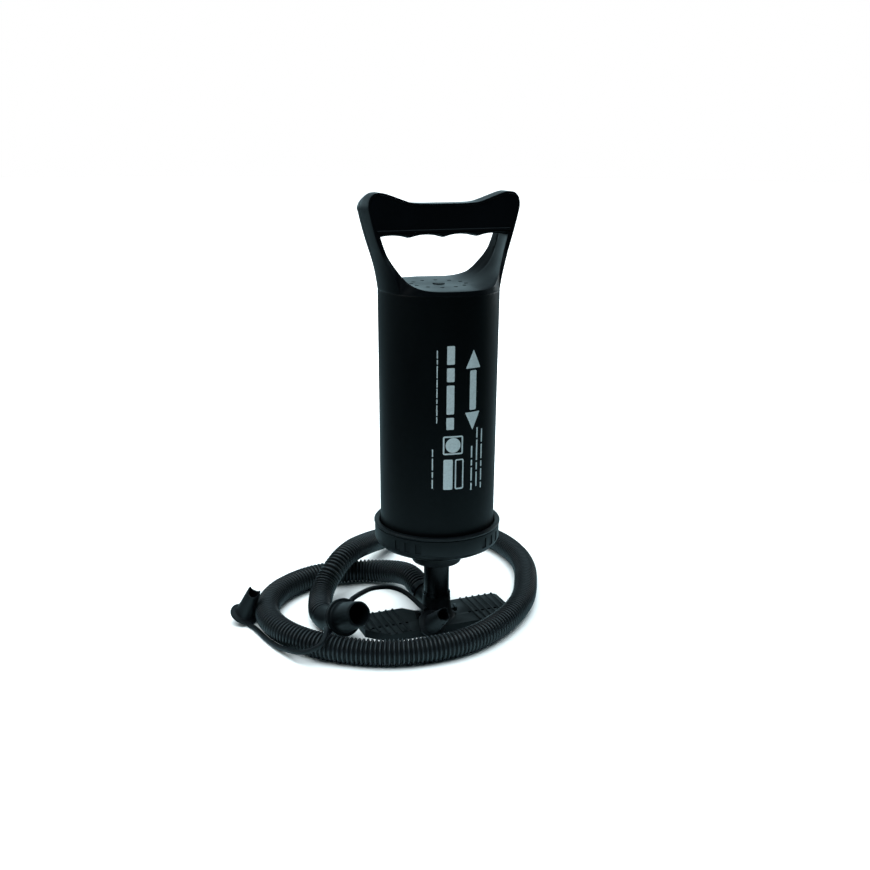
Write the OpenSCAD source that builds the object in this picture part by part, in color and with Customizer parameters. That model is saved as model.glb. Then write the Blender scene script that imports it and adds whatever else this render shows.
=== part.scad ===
// Double action hand pump for inflating toys, boats and mattresses.
// A foot plate carries a hollow column with a fixed piston on top. The barrel and its handle
// slide on the column, so air is pushed out through the column on both strokes.
// The frame: +Z up, origin on the floor on the column's axis, +X along the handle, -Y the front.

/* [Foot plate] */
// Length of the foot plate along the handle
plate_l = 110; // [100:1:140]
// Depth of the foot plate, front to back
plate_d = 38; // [32:1:60]
// Height of the foot plate's flat top
plate_h = 5.5; // [4.5:0.5:9]
// Wall and skin thickness of the foot plate
plate_wall = 2.2; // [1.6:0.1:3]
// Height of the tread ridges above the plate
ridge_h = 1; // [0.5:0.1:2]
// Distance between tread ridges
ridge_pitch = 5; // [4:0.5:7]
// Number of ridges on each wing
ridge_n = 6; // [4:1:7]

/* [Column] */
// Outer diameter of the column
column_d = 17.8; // [16:0.1:20]
// Bore of the column
column_bore = 13.2; // [10:0.1:14]
// Height of the hub round the column's foot
hub_h = 22; // [22:0.5:26]

/* [Barrel] */
// Outer diameter of the barrel at its top
barrel_top_d = 80; // [78:1:90]
// Outer diameter of the barrel at its foot
barrel_foot_d = 77.6; // [77:0.2:78]
// Bore of the barrel
barrel_bore = 73; // [71:0.5:74]
// Length of the barrel
barrel_l = 170; // [130:1:230]
// Height of the barrel's foot above the floor with the pump closed
barrel_z = 68; // [60:1:80]

/* [Bottom cap] */
// Outer diameter of the bottom cap
cap_d = 87; // [85:0.5:94]
// Height of the cap's band
cap_band_h = 15; // [12:0.5:22]
// Depth of the cap's gland boss below the band
gland_drop = 16.5; // [12:0.5:18]
// Outer diameter of the gland boss under the cap
boss_d = 34.4; // [32:0.2:40]

/* [Handle] */
// Overall width of the handle
handle_w = 105; // [98:1:116]
// Height of the handle above the barrel
handle_h = 62; // [56:1:80]
// Depth of the grip bar, front to back
grip_depth = 23; // [18:0.5:30]
// Height of the grip bar at its middle
grip_bar_h = 22; // [18:0.5:28]
// Thickness of the handle's arms
arm_t = 3.5; // [3:0.1:6]

/* [Piston] */
// Thickness of the lower half of the piston
piston_lower_t = 10; // [8:0.5:14]
// Thickness of the upper half of the piston
piston_upper_t = 6; // [5:0.5:10]
// Radial gap between a rubber seal and the wall it rubs on
seal_gap = 0.15; // [0.1:0.05:0.3]
// Lift of the shuttle ring between its two seats
shuttle_lift = 3; // [2:0.5:4]
// Lift of each intake valve
intake_lift = 1.2; // [0.8:0.1:2]

/* [Hose] */
// Outer diameter of the hose
hose_d = 17.5; // [16:0.5:19]
// Outer diameter of the nozzle's flange
nozzle_flange_d = 26; // [24:0.5:30]
// Outer diameter of the nozzle's mouth
nozzle_mouth_d = 17; // [14:0.5:18]
// Bore of the nozzle's mouth
nozzle_bore = 13.6; // [10:0.2:13.8]
// Length of the nozzle in front of its flange
nozzle_l = 22; // [18:1:30]
// Diameter of the tether's arms
strap_d = 3.4; // [2.5:0.1:4]
// Diameter of each valve tip's flange
tip_flange_d = 20; // [18:0.5:24]

/* [Hidden] */
$fn = 96;

black = [0.10, 0.11, 0.12];
satin = [0.17, 0.18, 0.20];
rubber = [0.06, 0.06, 0.07];
steel = [0.70, 0.71, 0.73];
eps = 0.01;

// Foot plate
plate_corner = 14;
back_corner = 2.5;
wing_x = 19;
waist = 8;
hub_r = 13.5;
hub_top_r = column_d / 2 + 0.9;
port_z = 12.5;
port_r = 9.2;
spigot_r = 6.2;
spigot_bore = 4.4;
port_end = plate_d / 2;
slot_n = 6;
slot_w = 2.2;
slot_y = -4.8;

// Column and piston
column_foot_z = plate_h;
barrel_top_z = barrel_z + barrel_l;
piston_gap = 0.3;
bumper_t = 3;
handle_spigot_h = 6;
piston_top_z = barrel_top_z - handle_spigot_h - bumper_t - piston_gap;
upper_z = piston_top_z - piston_upper_t;
lower_z = upper_z - piston_lower_t;
piston_r = barrel_bore / 2 - 0.5;
seal_r = barrel_bore / 2 - seal_gap;
seal_depth = 4.4;
seal_h = 4.8;
seal_z = lower_z + 2.4;
chamber_r = 19.6;
shuttle_t = 1.8;
chamber_h = shuttle_t + shuttle_lift;
chamber_z = upper_z - chamber_h;
port_ring_r = 15.5;
screw_ring_r = (chamber_r + seal_r - seal_depth) / 2;
sleeve_r = column_d / 2 + 3;
sleeve_h = 4;
column_top_z = chamber_z + 1;

// Bottom cap
cap_r = cap_d / 2;
lip_z = barrel_z + 11.5;
band_z = lip_z - cap_band_h;
floor_z = barrel_z - 2;
under_z = band_z - 3;
gland_z = band_z - gland_drop;
running_fit = 0.06;
seal_pocket_r = 13;
seal_pocket_z = gland_z + 7.5;
rod_seal_h = 4;
intake_ring_r = barrel_bore / 2 - 9.5;
intake_hole_r = 2;
slot_groups = [-140, -54, 40, 126];

// Handle
deck_z = barrel_top_z + 2.5;
handle_top = barrel_top_z + handle_h;
grip_top = handle_top - 6.8;
grip_low = grip_top - grip_bar_h;
insert_t = 4;
frame_low = grip_low + insert_t;
lobe_r = 8.5;
lobe_x = handle_w / 2 - lobe_r;
window_r = 20;
window_x = barrel_top_d / 2 + 1;
side_sweep_r = 28;
shell_t = 2.5;
vent_ring_r = 18;
vent_n = 12;
scallop_pitch = 23.5;
scallop_r = 39;

// Hose route: the centre line's points, from the port to the nozzle
hose_r = hose_d / 2;
hose_sides = 12;
hose_route = [
    [0, 20.5, 12.5], [0, 26, 12.5], [-0.3, 36, 14.6], [-1.3, 48, 16], [-4, 62, 13.8],
    [-11, 75, 10.8], [-20.5, 83.5, 9.3], [-31, 88, 9], [-46, 91, 9], [-64, 89.7, 9],
    [-81.1, 82.5, 9], [-95.9, 71.5, 9], [-106.9, 56.2, 9], [-112.8, 38, 9], [-112.7, 20, 9],
    [-107.5, 2, 9], [-97.6, -15.5, 9], [-83.7, -31.1, 9], [-66.6, -42.9, 9],
    [-46.6, -51.3, 9], [-25.6, -54.6, 9], [-5.5, -53.4, 9], [14.4, -46.9, 9],
    [34.8, -35, 9], [52.9, -20, 9], [68.3, -2, 9], [81.5, 20.5, 9], [93, 45, 9],
    [100, 70, 9], [100.5, 97, 9], [93.7, 120, 9], [78, 137.7, 9], [57, 147.6, 9],
    [34, 149.5, 9.5], [14, 140, 12], [-3, 123, 17.5], [-16, 107, 22.5], [-32, 88.8, 26.9],
    [-45.5, 75.5, 26.3], [-55.5, 66.5, 21.8], [-63, 60.5, 15.8], [-69, 52, 11.2],
    [-73.5, 41, 9], [-77, 27, 9], [-76.2, 16, 9], [-73, 6.64, 11.48], [-71, -2, 16]];

// Nozzle: its flange's back face and the way its mouth points, as a turn and a tilt
nozzle_at = [-71, -2, 16];
nozzle_turn = 13;
nozzle_tilt = 27;
neck_l = 3;

// Tether and valve tips
strap_sides = 8;
tether_left_route = [
    [-81.2, -8.3, 10.6], [-83.8, -10.4, 10.8], [-85.6, -14, 14.5], [-87, -19, 18.6],
    [-89, -27, 20.6], [-92.5, -33.5, 18.8], [-96.1, -35.4, 15.5], [-101.6, -31.1, 11], [-107.4, -24.3, 7.5], [-112.2, -13.3, 5],
    [-116.3, -1.8, 3], [-120, 13.8, 2], [-123, 31, 2], [-125.8, 40.05, 1.75]];
tether_right_route = [
    [-63, 3, 24.5], [-60, 5, 25.8], [-52.5, 9.5, 26.6], [-43.3, 14.3, 26.5],
    [-32.6, 17, 25], [-25.2, 16.6, 23], [-19, 12, 20.5], [-15.4, 5, 17.8],
    [-13.6, -3, 16.2], [-12.6, -11.5, 16]];
tip_flange_t = 2.4;
tip_l = 22;
tip_left_at = [-126.7, 49.4, 6.8];
tip_left_turn = 38;
tip_left_tilt = 63;
tip_right_at = [-11, -20.2, 9.4];
tip_right_turn = 8;
tip_right_tilt = 40;

// A smooth curve through the points p, n steps from each point to the next
function before(p, i) = i == 0 ? 2 * p[0] - p[1] : p[i - 1];
function after(p, i) = i + 2 > len(p) - 1 ? 2 * p[len(p) - 1] - p[len(p) - 2] : p[i + 2];
function bend(a, b, c, d, t) =
    0.5 * (2 * b + (c - a) * t + (2 * a - 5 * b + 4 * c - d) * t * t
    + (3 * b - a - 3 * c + d) * t * t * t);
function smooth(p, n) = [
    for (i = [0 : len(p) - 2]) for (k = [0 : n - 1])
        bend(before(p, i), p[i], p[i + 1], after(p, i), k / n),
    p[len(p) - 1]];
function unit(v) = v / norm(v);
function heading(p, i) = unit(p[min(i + 1, len(p) - 1)] - p[max(i - 1, 0)]);
// The direction across the tube that stays level, and the one square to it
function level(d) = unit([d[1], -d[0], 0]);
function rise(d) = cross(level(d), d);

// A tube of radius r and n sides swept along the points p
module swept(p, r, n) {
    rings = len(p);
    polyhedron(
        points = [for (i = [0 : rings - 1]) for (k = [0 : n - 1])
            let (d = heading(p, i), a = 360 * k / n)
            p[i] + r * (cos(a) * level(d) + sin(a) * rise(d))],
        faces = concat(
            [[for (k = [0 : n - 1]) k]],
            [[for (k = [n - 1 : -1 : 0]) (rings - 1) * n + k]],
            [for (i = [0 : rings - 2]) for (k = [0 : n - 1]) let (m = (k + 1) % n)
                [i * n + k, (i + 1) * n + k, (i + 1) * n + m, i * n + m]]),
        convexity = 6);
}

// A ring between two radii, from height z0 up to z1
module ring(r0, r1, z0, z1) {
    translate([0, 0, z0]) difference() {
        cylinder(r = r1, h = z1 - z0);
        translate([0, 0, -1]) cylinder(r = r0, h = z1 - z0 + 2);
    }
}

// n holes of radius r on a circle, from height z0 up to z1
module hole_ring(n, circle_r, r, z0, z1) {
    for (k = [0 : n - 1]) rotate([0, 0, 360 * (k + 0.5) / n])
        translate([circle_r, 0, z0]) cylinder(r = r, h = z1 - z0, $fn = 24);
}

// Places a piece whose own +Z points the way a mouth faces
module aimed(at, turn, tilt) {
    translate(at) rotate([0, 0, turn]) rotate([90 - tilt, 0, 0]) children();
}

// ---- Foot ----

module plate_outline(inset) {
    x = plate_l / 2 - inset;
    y = plate_d / 2 - inset;
    c = plate_corner - inset * 0.4;
    b = max(back_corner - inset * 0.4, 0.5);
    notch = inset * 0.41;
    polygon([[-x + c, -y], [x - c, -y], [x, -y + c], [x, y - b], [x - b, y],
             [wing_x + notch, y], [waist + notch, waist - inset],
             [-waist - notch, waist - inset], [-wing_x - notch, y],
             [-x + b, y], [-x, y - b], [-x, -y + c]]);
}

module foot_ridges() {
    for (side = [-1, 1]) for (k = [0 : ridge_n - 1]) {
        x = plate_l / 2 - 3.5 - k * ridge_pitch;
        front = max(x + 0.9 - plate_l / 2 + plate_corner, 0) + 0.4 - plate_d / 2;
        back = plate_d / 2 - 0.3;
        translate([side * x, back, plate_h - eps]) rotate([90, 0, 0])
            linear_extrude(height = back - front)
                polygon([[-0.9, 0], [0.9, 0], [0.5, ridge_h], [-0.5, ridge_h]]);
    }
}

module foot_slots() {
    for (side = [-1, 1]) for (k = [0 : slot_n - 1])
        translate([side * (plate_l / 2 - 3.5 - (k + 0.5) * ridge_pitch), slot_y, -1])
            linear_extrude(height = plate_h + ridge_h + 2) square(slot_w, center = true);
}

module foot_ribs() {
    linear_extrude(height = plate_h - 0.8) intersection() {
        plate_outline(plate_wall / 2);
        for (side = [-1, 1]) {
            translate([0, side * plate_d / 5]) square([plate_l, 1.6], center = true);
            for (x = [0.4, 0.7]) translate([side * x * plate_l / 2, 0])
                square([1.6, plate_d], center = true);
        }
    }
}

module foot_plate() {
    color(satin) difference() {
        union() {
            difference() {
                linear_extrude(height = plate_h) plate_outline(0);
                translate([0, 0, -1]) linear_extrude(height = plate_h - plate_wall + 1)
                    plate_outline(plate_wall);
            }
            foot_ribs();
            foot_ridges();
            cylinder(r = hub_r, h = plate_h);
            translate([0, 0, plate_h]) rotate_extrude() polygon(concat(
                [[0, 0], [hub_r, 0]],
                [for (a = [270 : -10 : 180])
                    [hub_r + (hub_r - hub_top_r) * cos(a), (hub_h - plate_h) * (1 + sin(a))]],
                [[0, hub_h - plate_h]]));
            translate([0, 0, port_z]) rotate([-90, 0, 0]) cylinder(r = port_r, h = port_end);
        }
        translate([0, 0, column_foot_z]) cylinder(r = column_d / 2, h = hub_h);
        translate([0, 0, port_z]) rotate([-90, 0, 0]) cylinder(r = spigot_r, h = port_end + 1);
        for (side = [-1, 1]) translate([0, 0, plate_h + 3]) rotate([0, 90 * side, 0])
            translate([0, 0, column_d / 2 - 1]) cylinder(r = 1.4, h = hub_r, $fn = 24);
        foot_slots();
    }
}

module hub_collar() {
    color(black) {
        ring(column_d / 2, hub_top_r, hub_h, hub_h + 1.6);
        ring(column_d / 2, hub_top_r - 0.4, hub_h + 1.6, hub_h + 2.4);
    }
}

module hub_screws() {
    color(steel) for (side = [-1, 1])
        translate([0, 0, plate_h + 3]) rotate([0, 90 * side, 0]) {
            translate([0, 0, column_d / 2 - 1.9]) cylinder(r = 1.4, h = hub_r - column_d / 2 + 2, $fn = 24);
            translate([0, 0, hub_r]) cylinder(r = 2.6, h = 1.6, $fn = 24);
        }
}

module port_spigot() {
    color(black) translate([0, 0, port_z]) rotate([-90, 0, 0]) difference() {
        union() {
            translate([0, 0, column_d / 2 + 0.4]) cylinder(r = spigot_r, h = port_end - column_d / 2);
            translate([0, 0, port_end]) cylinder(r = hose_r - 0.15, h = 1.5);
        }
        translate([0, 0, column_d / 2 - 1]) cylinder(r = spigot_bore, h = port_end);
    }
}

module hose_cuff() {
    color(black) translate([0, port_end + 0.3, port_z]) rotate([-90, 0, 0])
        ring(hose_r + 0.12, hose_r + 1.4, 0, 5.5);
}

module column() {
    color(black) difference() {
        translate([0, 0, column_foot_z]) cylinder(r = column_d / 2, h = column_top_z - column_foot_z);
        translate([0, 0, column_foot_z + 2]) cylinder(r = column_bore / 2, h = column_top_z);
        translate([0, 0, port_z]) rotate([-90, 0, 0]) cylinder(r = spigot_bore, h = column_d);
        for (side = [-1, 1]) translate([0, 0, plate_h + 3]) rotate([0, 90 * side, 0])
            translate([0, 0, column_d / 2 - 1.9]) cylinder(r = 1.4, h = 3, $fn = 24);
    }
}

// ---- Piston ----

module piston_lower() {
    color(satin) difference() {
        union() {
            translate([0, 0, lower_z]) cylinder(r = piston_r, h = piston_lower_t);
            translate([0, 0, lower_z - sleeve_h]) cylinder(r = sleeve_r, h = sleeve_h + 1);
        }
        ring(seal_r - seal_depth, piston_r + 1, seal_z, seal_z + seal_h);
        translate([0, 0, chamber_z]) cylinder(r = chamber_r, h = chamber_h + 1);
        translate([0, 0, lower_z - sleeve_h - 1]) cylinder(r = column_d / 2, h = piston_lower_t + sleeve_h);
        hole_ring(6, port_ring_r, 1.6, lower_z - 1, chamber_z + 1);
        hole_ring(4, screw_ring_r, 1.3, lower_z + 3, upper_z + 1);
    }
}

module piston_upper() {
    color(satin) difference() {
        translate([0, 0, upper_z]) cylinder(r = piston_r, h = piston_upper_t);
        hole_ring(6, port_ring_r, 1.6, upper_z - 1, piston_top_z + 1);
        hole_ring(4, screw_ring_r, 1.3, upper_z - 1, piston_top_z + 1);
        hole_ring(4, screw_ring_r, 2.8, piston_top_z - 2.2, piston_top_z + 1);
    }
}

module piston_seal() {
    color(rubber) rotate_extrude() polygon([
        [seal_r - seal_depth, seal_z], [seal_r - 1, seal_z], [seal_r, seal_z + 0.6],
        [seal_r - 0.7, seal_z + seal_h / 2], [seal_r, seal_z + seal_h - 0.6],
        [seal_r - 1, seal_z + seal_h], [seal_r - seal_depth, seal_z + seal_h]]);
}

module piston_screws() {
    color(steel) {
        hole_ring(4, screw_ring_r, 1.3, lower_z + 3, piston_top_z - 2);
        hole_ring(4, screw_ring_r, 2.7, piston_top_z - 2.2, piston_top_z - 0.2);
    }
}

module piston_bumper() {
    color(rubber) ring(piston_r - 3.4, piston_r - 0.4, piston_top_z, piston_top_z + bumper_t);
}

module shuttle_ring() {
    color(rubber) ring(column_d / 2 + 0.5, chamber_r - 0.4, chamber_z, chamber_z + shuttle_t);
}

// ---- Barrel ----

module barrel() {
    color(satin) difference() {
        translate([0, 0, barrel_z])
            cylinder(r1 = barrel_foot_d / 2, r2 = barrel_top_d / 2, h = barrel_l);
        translate([0, 0, barrel_z - 1]) cylinder(r = barrel_bore / 2, h = barrel_l + 2);
    }
}

function arc(x, y, r, a0, a1, n) = [
    for (k = [0 : n]) let (a = a0 + (a1 - a0) * k / n) [x + r * cos(a), y + r * sin(a)]];
function mirrored(p) = concat(p, [for (i = [len(p) - 1 : -1 : 0]) [-p[i][0], p[i][1]]]);

// Front outline of the handle, and of the finger window under its bar
module handle_front() {
    polygon(mirrored(concat(
        [[barrel_top_d / 2, barrel_top_z], [barrel_top_d / 2, barrel_top_z + 5]],
        arc(lobe_x, handle_top - lobe_r, lobe_r, -15, 108, 12),
        [[lobe_x - 20, grip_top + 0.6], [lobe_x - 25, grip_top]])));
}

// How far the arm's outer line, and the window's side above its corner, stand off at a height
function arm_side(z) =
    let (low = barrel_top_z + 5, high = handle_top - lobe_r - lobe_r * sin(15))
    barrel_top_d / 2 + (lobe_x + lobe_r * cos(15) - barrel_top_d / 2) * (z - low) / (high - low);
function window_side(z) =
    let (low = deck_z + window_r)
    window_x + (arm_side(frame_low) - arm_t + 0.5 - window_x) * (z - low) / (frame_low - low);

module handle_window() {
    polygon(mirrored(concat(
        arc(window_x - window_r, deck_z + window_r, window_r, -90, 0, 12),
        [[window_side(frame_low), frame_low]])));
}

// Side outline: wide on the barrel and swept in to the grip's depth
module handle_side() {
    half = barrel_top_d / 2;
    polygon(mirrored(concat(
        [[half + 1, barrel_top_z], [half + 1, deck_z]],
        arc(half + 1, deck_z + side_sweep_r, side_sweep_r, 270, 180, 12),
        [[grip_depth / 2, grip_low]],
        arc(grip_depth / 2 - 5, handle_top - 5, 5, 0, 90, 6))));
}

module handle_blank() {
    intersection() {
        rotate([90, 0, 0]) linear_extrude(height = barrel_top_d + 4, center = true)
            difference() {
                handle_front();
                handle_window();
            }
        rotate([90, 0, 90]) linear_extrude(height = handle_w + 20, center = true) handle_side();
        rotate_extrude() polygon([[0, barrel_top_z], [barrel_top_d / 2, barrel_top_z],
            [barrel_top_d / 2, deck_z + 1], [handle_w * 0.6, deck_z + 15],
            [handle_w * 0.6, handle_top + 5], [0, handle_top + 5]]);
    }
}

module handle_frame() {
    color(black) difference() {
        union() {
            handle_blank();
            ring(barrel_bore / 2 - 3, barrel_bore / 2 - 0.1, barrel_top_z - handle_spigot_h,
                 barrel_top_z + eps);
        }
        ring(barrel_bore / 2 - 1.8, barrel_bore, barrel_top_z - 4.4, barrel_top_z - 2.2);
        hole_ring(vent_n, vent_ring_r, 1.3, barrel_top_z - 1, deck_z + 1);
        translate([0, 0, barrel_top_z - 1]) cylinder(r = 2.5, h = deck_z - barrel_top_z + 2);
        translate([0, 0, (frame_low + grip_top) / 2 - 1])
            cube([handle_w - 30, grip_depth - 2 * shell_t, grip_top - frame_low - shell_t + 2],
                 center = true);
    }
}

module grip_insert() {
    half = window_side(grip_low) - 0.27;
    color(satin) difference() {
        union() {
            translate([0, 0, (grip_low + frame_low) / 2])
                cube([2 * half, grip_depth - 1, insert_t], center = true);
            translate([0, 0, frame_low + 3])
                cube([handle_w - 30.2, grip_depth - 2 * shell_t - 0.2, 6 + eps], center = true);
        }
        for (k = [-1.5 : 1 : 1.5])
            translate([k * scallop_pitch, 0, grip_low + 1.7 - scallop_r]) rotate([90, 0, 0])
                cylinder(r = scallop_r, h = grip_depth + 2, center = true);
    }
}

module handle_o_ring() {
    color(rubber) ring(barrel_bore / 2 - 1.8, barrel_bore / 2 - 0.05, barrel_top_z - 4.3,
                       barrel_top_z - 2.3);
}

module top_intake_disc() {
    color(rubber) ring(3.2, vent_ring_r + 4, barrel_top_z - 1.4, barrel_top_z - 0.02);
}

module top_intake_stud() {
    low = barrel_top_z - 1.4 - intake_lift - 0.3;
    color(satin) {
        translate([0, 0, low]) cylinder(r = 2.45, h = deck_z - low + 0.2);
        translate([0, 0, low - 1.4]) cylinder(r = 8, h = 1.4);
        translate([0, 0, deck_z]) cylinder(r = 4, h = 1);
    }
}

// ---- Bottom cap ----

module cap_slots() {
    for (group = slot_groups) for (k = [-1 : 1])
        rotate([0, 0, group + 10.5 * k])
            translate([cap_r - 1.4, -2.4, band_z + 3]) cube([4, 4.8, 7.5]);
}

module bottom_cap() {
    socket_r = barrel_foot_d / 2 + 0.25;
    color(satin) difference() {
        rotate_extrude() polygon([
            [column_d / 2 + running_fit, gland_z], [boss_d / 2 - 0.8, gland_z],
            [boss_d / 2, gland_z + 0.8], [boss_d / 2 + 2.6, under_z], [cap_r - 5, under_z],
            [cap_r - 1, band_z], [cap_r - 0.6, band_z + 2], [cap_r - 0.4, lip_z - 2.6],
            [cap_r - 0.9, lip_z - 2.2], [cap_r, lip_z - 1.6], [cap_r, lip_z - 0.6],
            [cap_r - 0.8, lip_z], [socket_r + 0.8, lip_z], [socket_r, lip_z - 0.8],
            [socket_r, floor_z], [seal_pocket_r, floor_z], [seal_pocket_r, seal_pocket_z],
            [column_d / 2 + running_fit, seal_pocket_z]]);
        cap_slots();
        hole_ring(10, intake_ring_r, intake_hole_r, under_z - 1, floor_z + 1);
    }
}

module barrel_gasket() {
    color(rubber) ring(barrel_bore / 2 + 0.2, barrel_foot_d / 2 - 0.1, floor_z, barrel_z);
}

module rod_seal() {
    color(rubber) ring(column_d / 2 + seal_gap, seal_pocket_r - 0.15, seal_pocket_z,
                       seal_pocket_z + rod_seal_h);
}

module gland_retainer() {
    flange_z = floor_z + 1.4 + intake_lift + 0.2;
    color(satin) rotate_extrude() polygon([
        [column_d / 2 + 0.7, seal_pocket_z + rod_seal_h], [seal_pocket_r, seal_pocket_z + rod_seal_h],
        [seal_pocket_r, floor_z], [intake_ring_r - 6.4, floor_z], [intake_ring_r - 6.4, flange_z],
        [intake_ring_r - 3, flange_z], [intake_ring_r - 3, flange_z + 1.4],
        [column_d / 2 + 0.7, flange_z + 1.4]]);
}

module bottom_intake_disc() {
    color(rubber) ring(intake_ring_r - 6, intake_ring_r + 5, floor_z, floor_z + 1.4);
}

// ---- Hose, nozzle, tether and tips ----

module hose() {
    color(rubber) swept(smooth(hose_route, 1), hose_r, hose_sides);
}

module nozzle() {
    color(satin) aimed(nozzle_at, nozzle_turn, nozzle_tilt) difference() {
        union() {
            cylinder(r = hose_r + 0.6, h = neck_l + eps);
            translate([0, 0, neck_l]) cylinder(r = nozzle_flange_d / 2, h = 2);
            translate([0, 0, neck_l + 2])
                cylinder(r1 = nozzle_mouth_d / 2 + 1.2, r2 = nozzle_mouth_d / 2, h = nozzle_l);
        }
        translate([0, 0, -1]) cylinder(r = nozzle_bore / 2, h = nozzle_l + neck_l + 5);
    }
}

module tether_ring() {
    color(rubber) aimed(nozzle_at, nozzle_turn, nozzle_tilt)
        ring(hose_r + 0.7, nozzle_flange_d / 2 - 0.8, 0.4, neck_l - 0.1);
}

module tether_left() {
    color(rubber) swept(smooth(tether_left_route, 1), strap_d / 2, strap_sides);
}

module tether_right() {
    color(rubber) swept(smooth(tether_right_route, 1), strap_d / 2, strap_sides);
}

// A valve tip: a flange, and a hollow cone with a notched end and a side hole
module valve_tip(at, turn, tilt) {
    bore = 2.6;
    color(rubber) aimed(at, turn, tilt) difference() {
        union() {
            translate([0, 0, -tip_flange_t]) cylinder(r = tip_flange_d / 2, h = tip_flange_t);
            cylinder(r1 = 6.4, r2 = 4.4, h = tip_l);
        }
        translate([0, 0, -tip_flange_t - 1]) cylinder(r = bore, h = tip_l + tip_flange_t + 2);
        translate([0, 0, tip_l]) rotate([0, 90, 0]) cylinder(r = 3, h = 12, center = true, $fn = 32);
        translate([0, 0, tip_l - 7]) rotate([90, 0, 0]) cylinder(r = 0.9, h = 12, $fn = 16);
    }
}

module valve_tip_left() {
    valve_tip(tip_left_at, tip_left_turn, tip_left_tilt);
}

module valve_tip_right() {
    valve_tip(tip_right_at, tip_right_turn, tip_right_tilt);
}

foot_plate();
hub_collar();
hub_screws();
column();
port_spigot();
hose_cuff();
piston_lower();
piston_upper();
piston_seal();
piston_screws();
piston_bumper();
shuttle_ring();
barrel();
handle_frame();
grip_insert();
handle_o_ring();
top_intake_disc();
top_intake_stud();
bottom_cap();
barrel_gasket();
rod_seal();
gland_retainer();
bottom_intake_disc();
hose();
nozzle();
tether_ring();
tether_left();
tether_right();
valve_tip_left();
valve_tip_right();
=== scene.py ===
"""Double action hand pump: the visible pieces and finishes, built round the CAD frame.

The frame is in metres: +Z up, origin on the floor on the column's axis, +X along the handle
and -Y the front. Outlines below are written in millimetres, and MM turns them into metres.
"""

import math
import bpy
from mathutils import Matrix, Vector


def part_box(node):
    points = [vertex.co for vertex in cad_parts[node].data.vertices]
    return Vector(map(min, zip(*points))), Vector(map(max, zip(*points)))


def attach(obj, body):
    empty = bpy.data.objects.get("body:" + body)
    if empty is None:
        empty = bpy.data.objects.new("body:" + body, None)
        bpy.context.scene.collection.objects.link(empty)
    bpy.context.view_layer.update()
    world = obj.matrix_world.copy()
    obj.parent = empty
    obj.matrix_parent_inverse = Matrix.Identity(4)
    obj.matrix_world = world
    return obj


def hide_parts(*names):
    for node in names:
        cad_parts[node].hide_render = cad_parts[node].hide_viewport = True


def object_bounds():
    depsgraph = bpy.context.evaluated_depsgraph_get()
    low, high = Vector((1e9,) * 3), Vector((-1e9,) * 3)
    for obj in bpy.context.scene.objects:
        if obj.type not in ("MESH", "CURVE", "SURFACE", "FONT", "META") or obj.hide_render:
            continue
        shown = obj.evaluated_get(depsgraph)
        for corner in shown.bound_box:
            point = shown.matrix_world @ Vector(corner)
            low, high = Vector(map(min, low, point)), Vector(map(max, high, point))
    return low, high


bl_info = {
    "name": "Double Action Hand Pump",
    "version": (1, 0, 0),
    "blender": (4, 5, 0),
    "location": "View3D > Sidebar > Hand Pump",
    "description": "Builds a hand pump with a loop handle, a foot plate and a corrugated hose",
    "category": "Add Mesh",
}

import bmesh
import bpy
from mathutils import Matrix, Vector

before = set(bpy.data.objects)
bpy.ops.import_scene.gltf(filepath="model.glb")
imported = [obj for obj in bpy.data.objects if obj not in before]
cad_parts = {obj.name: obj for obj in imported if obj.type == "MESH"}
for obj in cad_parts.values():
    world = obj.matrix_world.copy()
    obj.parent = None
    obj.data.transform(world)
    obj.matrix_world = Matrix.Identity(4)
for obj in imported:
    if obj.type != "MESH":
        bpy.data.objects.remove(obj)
cad_low, cad_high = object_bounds()

MM = 0.001

BARREL_LOW, BARREL_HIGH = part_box("barrel")
CAP_LOW, CAP_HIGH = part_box("bottom_cap")
BARREL_TOP = BARREL_HIGH.z / MM
BARREL_RADIUS = BARREL_HIGH.x / MM
BARREL_TAPER = 1.2

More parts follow.
